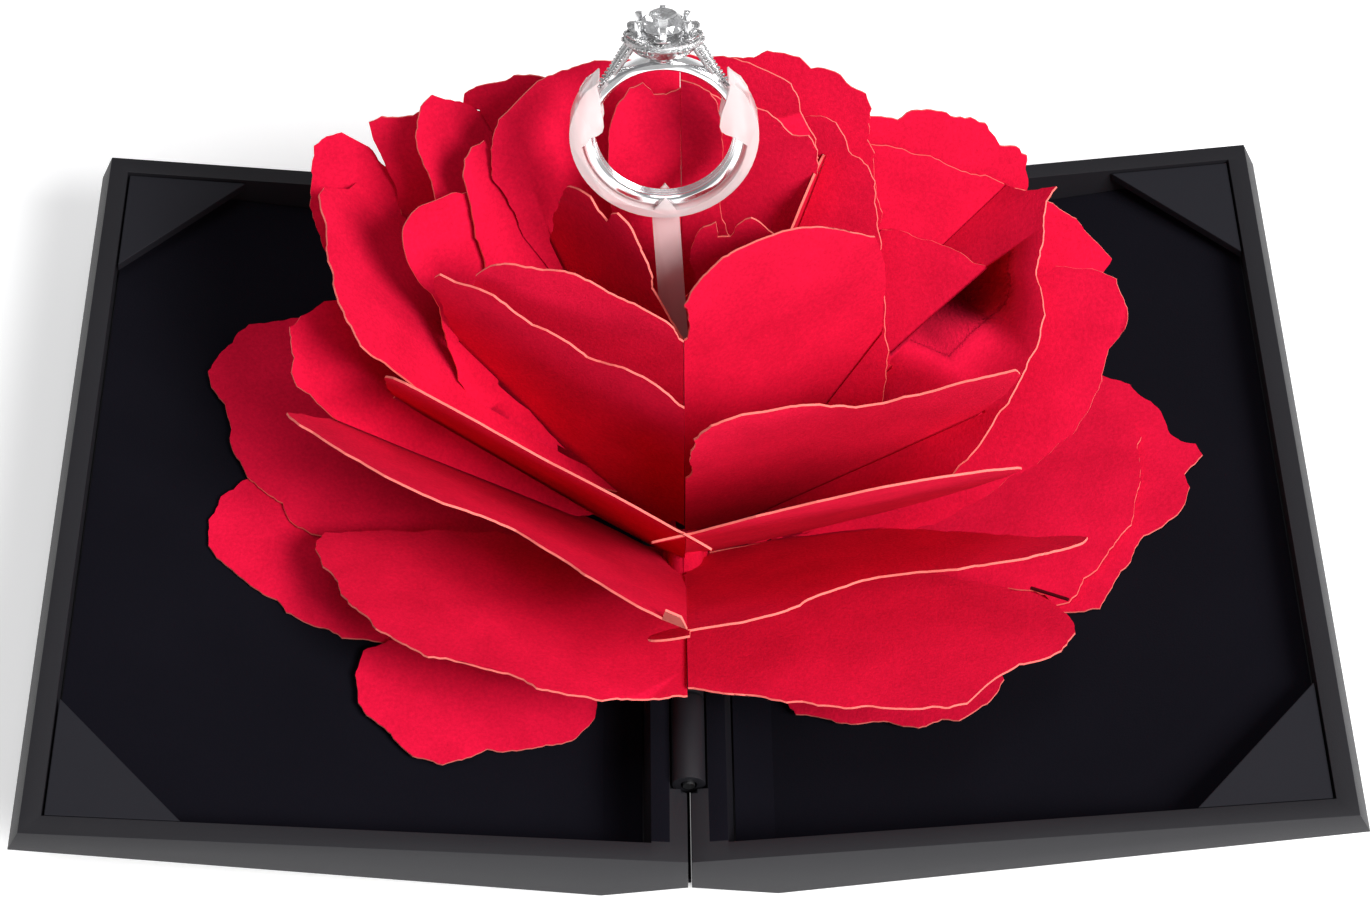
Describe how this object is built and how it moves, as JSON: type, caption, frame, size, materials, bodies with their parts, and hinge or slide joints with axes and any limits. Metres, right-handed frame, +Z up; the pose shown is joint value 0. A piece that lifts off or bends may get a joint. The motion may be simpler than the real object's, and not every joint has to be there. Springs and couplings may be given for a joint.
{
  "type": "ring box",
  "caption": "Slim black hinged ring box that opens flat; a red card rose rises from its fold and holds up a diamond ring in a clear holder.",
  "frame": {"origin": "centre of the hinge's length, straight below the hinge, on the plane the open box rests on", "axes": "+X to the right across both leaves, +Y away from the viewer along the hinge, +Z up"},
  "size_m": [0.173, 0.112, 0.0849],
  "materials": {
    "shell": "soft-touch matte black",
    "liner": "near-black suede paper",
    "gusset": "smooth black corner sheet",
    "magnet": "nickel plated",
    "pin": "plain steel",
    "carrier": "moulded black",
    "clear": "clear moulded plastic",
    "white_gold": "polished white gold",
    "stone": "polished colourless stone",
    "card": "laser-cut red card"
  },
  "bodies": {
    "left_leaf": {"hinge_pin": "pin", "left_shell": "shell", "left_liner": "liner", "left_gusset_near": "gusset", "left_gusset_far": "gusset", "left_magnet_near": "magnet", "left_magnet_far": "magnet", "left_low_petal_side": "card", "left_low_petal_middle": "card", "left_low_petal_front": "card"},
    "right_leaf": {"right_shell": "shell", "right_liner": "liner", "right_gusset_near": "gusset", "right_gusset_far": "gusset", "right_magnet_near": "magnet", "right_magnet_far": "magnet", "right_low_petal_side": "card", "right_low_petal_middle": "card", "right_low_petal_front": "card"},
    "stem": {"stem_carrier": "carrier"},
    "ring_display": {"ring_holder": "clear", "ring": "white_gold", "ring_stone": "stone"},
    "right_heart_petal_half": {"right_heart_petal": "card"},
    "left_fourth_petal_half": {"left_fourth_petal": "card"},
    "right_fourth_petal_half": {"right_fourth_petal": "card"},
    "left_heart_petal_half": {"left_heart_petal": "card"},
    "right_third_petal_half": {"right_third_petal": "card"},
    "left_third_petal_half": {"left_third_petal": "card"},
    "right_second_petal_half": {"right_second_petal": "card"},
    "left_second_petal_half": {"left_second_petal": "card"},
    "right_first_petal_half": {"right_first_petal": "card"},
    "left_first_petal_half": {"left_first_petal": "card"},
    "left_bud_petal_half": {"left_bud_petal": "card"},
    "right_bud_petal_half": {"right_bud_petal": "card"},
    "right_inner_side_petal_half": {"right_inner_side_petal": "card"},
    "left_inner_spike_petal_half": {"left_inner_spike_petal": "card"},
    "left_inner_back_petal_half": {"left_inner_back_petal": "card"},
    "left_tall_side_petal_half": {"left_tall_side_petal": "card"},
    "right_inner_back_petal_half": {"right_inner_back_petal": "card"},
    "left_notched_back_petal_half": {"left_notched_back_petal": "card"},
    "right_notched_back_petal_half": {"right_notched_back_petal": "card"},
    "right_back_petal_a_half": {"right_back_petal_a": "card"},
    "right_back_petal_b_half": {"right_back_petal_b": "card"},
    "right_back_petal_c_half": {"right_back_petal_c": "card"},
    "right_broad_back_petal_half": {"right_broad_back_petal": "card"},
    "left_mid_back_petal_a_half": {"left_mid_back_petal_a": "card"},
    "left_mid_back_petal_b_half": {"left_mid_back_petal_b": "card"},
    "left_broad_back_petal_half": {"left_broad_back_petal": "card"},
    "right_outer_back_petal_half": {"right_outer_back_petal": "card"},
    "right_outer_side_petal_half": {"right_outer_side_petal": "card"},
    "left_outer_side_petal_half": {"left_outer_side_petal": "card"},
    "left_wide_back_petal_half": {"left_wide_back_petal": "card"},
    "left_centre_back_petal_half": {"left_centre_back_petal": "card"},
    "right_centre_back_petal_half": {"right_centre_back_petal": "card"},
    "right_wide_back_petal_half": {"right_wide_back_petal": "card"}
  },
  "joints": [
    {"name": "box_hinge", "type": "hinge", "parent": "left_leaf", "child": "right_leaf", "pos_m": [0, 0, 0.00941], "axis": [0, -1, 0], "range_deg": [0, 165.6]},
    {"name": "stem_follow", "type": "hinge", "parent": "left_leaf", "child": "stem", "pos_m": [0, -0.0057, 0.00941], "axis": [0, -1, 0], "range_deg": [0, 82.9]},
    {"name": "ring_turn", "type": "hinge", "parent": "stem", "child": "ring_display", "pos_m": [0, -0.0057, 0.00941], "axis": [0, 0.342, 0.9397], "range_deg": [0, 90.1]},
    {"name": "right_heart_petal_fold", "type": "hinge", "parent": "right_leaf", "child": "right_heart_petal_half", "pos_m": [0.00224, -0.005, 0.00768], "axis": [0.4981, 0.7119, 0.495], "range_deg": [0, 106.91], "deforming": ["right_heart_petal"]},
    {"name": "left_fourth_petal_fold", "type": "hinge", "parent": "left_leaf", "child": "left_fourth_petal_half", "pos_m": [-0.00129, -0.005, 0.00716], "axis": [0.4769, -0.7133, -0.5136], "range_deg": [0, 92.16], "deforming": ["left_fourth_petal"]},
    {"name": "right_fourth_petal_fold", "type": "hinge", "parent": "right_leaf", "child": "right_fourth_petal_half", "pos_m": [0.00129, -0.005, 0.00716], "axis": [0.5502, 0.5436, 0.6338], "range_deg": [0, 91.86], "deforming": ["right_fourth_petal"]},
    {"name": "left_heart_petal_fold", "type": "hinge", "parent": "left_leaf", "child": "left_heart_petal_half", "pos_m": [-0.00224, -0.002, 0.00768], "axis": [0.5654, -0.6279, -0.5349], "range_deg": [0, 103.03], "deforming": ["left_heart_petal"]},
    {"name": "right_third_petal_fold", "type": "hinge", "parent": "right_leaf", "child": "right_third_petal_half", "pos_m": [0.00134, -0.007, 0.00676], "axis": [0.5672, 0.4543, 0.687], "range_deg": [0, 79.8], "deforming": ["right_third_petal"]},
    {"name": "left_third_petal_fold", "type": "hinge", "parent": "left_leaf", "child": "left_third_petal_half", "pos_m": [-0.00035, -0.008, 0.00663], "axis": [0.5274, -0.6563, -0.5395], "range_deg": [0, 72.65], "deforming": ["left_third_petal"]},
    {"name": "right_second_petal_fold", "type": "hinge", "parent": "right_leaf", "child": "right_second_petal_half", "pos_m": [0.0004, -0.007, 0.00624], "axis": [0.6075, 0.3379, 0.7189], "range_deg": [0, 54.14], "deforming": ["right_second_petal"]},
    {"name": "left_second_petal_fold", "type": "hinge", "parent": "left_leaf", "child": "left_second_petal_half", "pos_m": [0.00059, -0.009, 0.00611], "axis": [0.5491, -0.5969, -0.5849], "range_deg": [0, 55.4], "deforming": ["left_second_petal"]},
    {"name": "right_first_petal_fold", "type": "hinge", "parent": "right_leaf", "child": "right_first_petal_half", "pos_m": [0.00244, -0.006, 0.00609], "axis": [0.7476, 0.0288, 0.6635], "range_deg": [0, 28.06], "deforming": ["right_first_petal"]},
    {"name": "left_first_petal_fold", "type": "hinge", "parent": "left_leaf", "child": "left_first_petal_half", "pos_m": [-0.00045, -0.006, 0.00584], "axis": [0.7454, -0.2193, -0.6296], "range_deg": [0, 26.13], "deforming": ["left_first_petal"]},
    {"name": "left_bud_petal_fold", "type": "hinge", "parent": "left_leaf", "child": "left_bud_petal_half", "pos_m": [-0.00109, 0.003, 0.00874], "axis": [0.381, -0.8379, -0.3909], "range_deg": [0, 90.82], "deforming": ["left_bud_petal"]},
    {"name": "right_bud_petal_fold", "type": "hinge", "parent": "right_leaf", "child": "right_bud_petal_half", "pos_m": [0.00208, 0.001, 0.00887], "axis": [-0.6257, 0.488, -0.6086], "range_deg": [0, 95.5], "deforming": ["right_bud_petal"]},
    {"name": "right_inner_side_petal_fold", "type": "hinge", "parent": "right_leaf", "child": "right_inner_side_petal_half", "pos_m": [0.00114, 0.002, 0.00835], "axis": [0.3717, 0.9272, 0.047], "range_deg": [0, 73.1], "deforming": ["right_inner_side_petal"]},
    {"name": "left_inner_spike_petal_fold", "type": "hinge", "parent": "left_leaf", "child": "left_inner_spike_petal_half", "pos_m": [-0.00114, 0.001, 0.00835], "axis": [-0.7261, -0.6328, 0.269], "range_deg": [0, 52.99], "deforming": ["left_inner_spike_petal"]},
    {"name": "left_inner_back_petal_fold", "type": "hinge", "parent": "left_leaf", "child": "left_inner_back_petal_half", "pos_m": [-0.00318, -0.002, 0.0082], "axis": [-0.489, -0.6237, 0.6098], "range_deg": [0, 61.82], "deforming": ["left_inner_back_petal"]},
    {"name": "left_tall_side_petal_fold", "type": "hinge", "parent": "left_leaf", "child": "left_tall_side_petal_half", "pos_m": [-0.00124, 0.003, 0.00755], "axis": [-0.4567, -0.6939, 0.5568], "range_deg": [0, 53.55], "deforming": ["left_tall_side_petal"]},
    {"name": "right_inner_back_petal_fold", "type": "hinge", "parent": "right_leaf", "child": "right_inner_back_petal_half", "pos_m": [0.00218, -0.001, 0.00808], "axis": [-0.4709, 0.5892, -0.6565], "range_deg": [0, 68.69], "deforming": ["right_inner_back_petal"]},
    {"name": "left_notched_back_petal_fold", "type": "hinge", "parent": "left_leaf", "child": "left_notched_back_petal_half", "pos_m": [-0.00119, 0.001, 0.00795], "axis": [-0.5534, -0.4946, 0.6702], "range_deg": [0, 88.33], "deforming": ["left_notched_back_petal"]},
    {"name": "right_notched_back_petal_fold", "type": "hinge", "parent": "right_leaf", "child": "right_notched_back_petal_half", "pos_m": [0.00114, 0.001, 0.00835], "axis": [-0.5534, 0.4946, -0.6702], "range_deg": [0, 88.33], "deforming": ["right_notched_back_petal"]},
    {"name": "right_back_petal_a_fold", "type": "hinge", "parent": "right_leaf", "child": "right_back_petal_a_half", "pos_m": [0.00129, 0.003, 0.00716], "axis": [-0.4725, 0.5724, -0.6701], "range_deg": [0, 85.04], "deforming": ["right_back_petal_a"]},
    {"name": "right_back_petal_b_fold", "type": "hinge", "parent": "right_leaf", "child": "right_back_petal_b_half", "pos_m": [0.0003, 0.005, 0.00703], "axis": [-0.4609, 0.5806, -0.6712], "range_deg": [0, 82.43], "deforming": ["right_back_petal_b"]},
    {"name": "right_back_petal_c_fold", "type": "hinge", "parent": "right_leaf", "child": "right_back_petal_c_half", "pos_m": [0.00134, 0.007, 0.00676], "axis": [-0.5149, 0.4694, -0.7173], "range_deg": [0, 83.58], "deforming": ["right_back_petal_c"]},
    {"name": "right_broad_back_petal_fold", "type": "hinge", "parent": "right_leaf", "child": "right_broad_back_petal_half", "pos_m": [0.00224, 0.008, 0.00768], "axis": [-0.9328, 0, -0.3605], "range_deg": [0, 72.55], "deforming": ["right_broad_back_petal"]},
    {"name": "left_mid_back_petal_a_fold", "type": "hinge", "parent": "left_leaf", "child": "left_mid_back_petal_a_half", "pos_m": [-0.00323, 0.007, 0.0078], "axis": [-0.7106, -0.1969, 0.6755], "range_deg": [0, 89.73], "deforming": ["left_mid_back_petal_a"]},
    {"name": "left_mid_back_petal_b_fold", "type": "hinge", "parent": "left_leaf", "child": "left_mid_back_petal_b_half", "pos_m": [-0.00422, 0.007, 0.00793], "axis": [-0.932, 0.0678, 0.3562], "range_deg": [0, 73.51], "deforming": ["left_mid_back_petal_b"]},
    {"name": "left_broad_back_petal_fold", "type": "hinge", "parent": "left_leaf", "child": "left_broad_back_petal_half", "pos_m": [-0.00526, 0.003, 0.00766], "axis": [-0.9373, -0.2052, 0.2819], "range_deg": [0, 46.75], "deforming": ["left_broad_back_petal"]},
    {"name": "right_outer_back_petal_fold", "type": "hinge", "parent": "right_leaf", "child": "right_outer_back_petal_half", "pos_m": [0.00521, 0.004, 0.00805], "axis": [-0.854, 0.1118, -0.5081], "range_deg": [0, 71.77], "deforming": ["right_outer_back_petal"]},
    {"name": "right_outer_side_petal_fold", "type": "hinge", "parent": "right_leaf", "child": "right_outer_side_petal_half", "pos_m": [0.00536, -0.005, 0.00686], "axis": [-0.9381, 0.3256, -0.1185], "range_deg": [0, 43.1], "deforming": ["right_outer_side_petal"]},
    {"name": "left_outer_side_petal_fold", "type": "hinge", "parent": "left_leaf", "child": "left_outer_side_petal_half", "pos_m": [-0.00139, -0.006, 0.00636], "axis": [-0.6766, -0.7314, 0.0855], "range_deg": [0, 26.1], "deforming": ["left_outer_side_petal"]},
    {"name": "left_wide_back_petal_fold", "type": "hinge", "parent": "left_leaf", "child": "left_wide_back_petal_half", "pos_m": [-0.00035, 0.001, 0.00663], "axis": [0.0865, -0.9962, -0.0109], "range_deg": [0, 36.1], "deforming": ["left_wide_back_petal"]},
    {"name": "left_centre_back_petal_fold", "type": "hinge", "parent": "left_leaf", "child": "left_centre_back_petal_half", "pos_m": [-0.00134, 0.002, 0.00676], "axis": [-0.4954, -0.5043, 0.7073], "range_deg": [0, 84.24], "deforming": ["left_centre_back_petal"]},
    {"name": "right_centre_back_petal_fold", "type": "hinge", "parent": "right_leaf", "child": "right_centre_back_petal_half", "pos_m": [0.00139, 0.006, 0.00636], "axis": [-0.9739, 0.1908, -0.123], "range_deg": [0, 60.1], "deforming": ["right_centre_back_petal"]},
    {"name": "right_wide_back_petal_fold", "type": "hinge", "parent": "right_leaf", "child": "right_wide_back_petal_half", "pos_m": [-0.00064, 0.001, 0.00651], "axis": [-0.2568, 0.9659, -0.0324], "range_deg": [0, 32.1], "deforming": ["right_wide_back_petal"]}
  ],
  "couplings": [
    {"joint": "stem_follow", "follows": "box_hinge", "ratio": 0.5},
    {"joint": "ring_turn", "follows": "box_hinge", "ratio": 0.54348},
    {"joint": "right_heart_petal_fold", "follows": "box_hinge", "ratio": 0.64501},
    {"joint": "left_fourth_petal_fold", "follows": "box_hinge", "ratio": 0.55593},
    {"joint": "right_fourth_petal_fold", "follows": "box_hinge", "ratio": 0.55411},
    {"joint": "left_heart_petal_fold", "follows": "box_hinge", "ratio": 0.62158},
    {"joint": "right_third_petal_fold", "follows": "box_hinge", "ratio": 0.48129},
    {"joint": "left_third_petal_fold", "follows": "box_hinge", "ratio": 0.4381},
    {"joint": "right_second_petal_fold", "follows": "box_hinge", "ratio": 0.32636},
    {"joint": "left_second_petal_fold", "follows": "box_hinge", "ratio": 0.33392},
    {"joint": "right_first_petal_fold", "follows": "box_hinge", "ratio": 0.16882},
    {"joint": "left_first_petal_fold", "follows": "box_hinge", "ratio": 0.15719},
    {"joint": "left_bud_petal_fold", "follows": "box_hinge", "ratio": 0.54782},
    {"joint": "right_bud_petal_fold", "follows": "box_hinge", "ratio": 0.57607},
    {"joint": "right_inner_side_petal_fold", "follows": "box_hinge", "ratio": 0.44082},
    {"joint": "left_inner_spike_petal_fold", "follows": "box_hinge", "ratio": 0.31937},
    {"joint": "left_inner_back_petal_fold", "follows": "box_hinge", "ratio": 0.37272},
    {"joint": "left_tall_side_petal_fold", "follows": "box_hinge", "ratio": 0.32279},
    {"joint": "right_inner_back_petal_fold", "follows": "box_hinge", "ratio": 0.41422},
    {"joint": "left_notched_back_petal_fold", "follows": "box_hinge", "ratio": 0.53277},
    {"joint": "right_notched_back_petal_fold", "follows": "box_hinge", "ratio": 0.53277},
    {"joint": "right_back_petal_a_fold", "follows": "box_hinge", "ratio": 0.51291},
    {"joint": "right_back_petal_b_fold", "follows": "box_hinge", "ratio": 0.49714},
    {"joint": "right_back_petal_c_fold", "follows": "box_hinge", "ratio": 0.50409},
    {"joint": "right_broad_back_petal_fold", "follows": "box_hinge", "ratio": 0.43749},
    {"joint": "left_mid_back_petal_a_fold", "follows": "box_hinge", "ratio": 0.54122},
    {"joint": "left_mid_back_petal_b_fold", "follows": "box_hinge", "ratio": 0.44327},
    {"joint": "left_broad_back_petal_fold", "follows": "box_hinge", "ratio": 0.28172},
    {"joint": "right_outer_back_petal_fold", "follows": "box_hinge", "ratio": 0.43277},
    {"joint": "right_outer_side_petal_fold", "follows": "box_hinge", "ratio": 0.25966},
    {"joint": "left_outer_side_petal_fold", "follows": "box_hinge", "ratio": 0.15701},
    {"joint": "left_wide_back_petal_fold", "follows": "box_hinge", "ratio": 0.21739},
    {"joint": "left_centre_back_petal_fold", "follows": "box_hinge", "ratio": 0.50809},
    {"joint": "right_centre_back_petal_fold", "follows": "box_hinge", "ratio": 0.36232},
    {"joint": "right_wide_back_petal_fold", "follows": "box_hinge", "ratio": 0.19324}
  ]
}
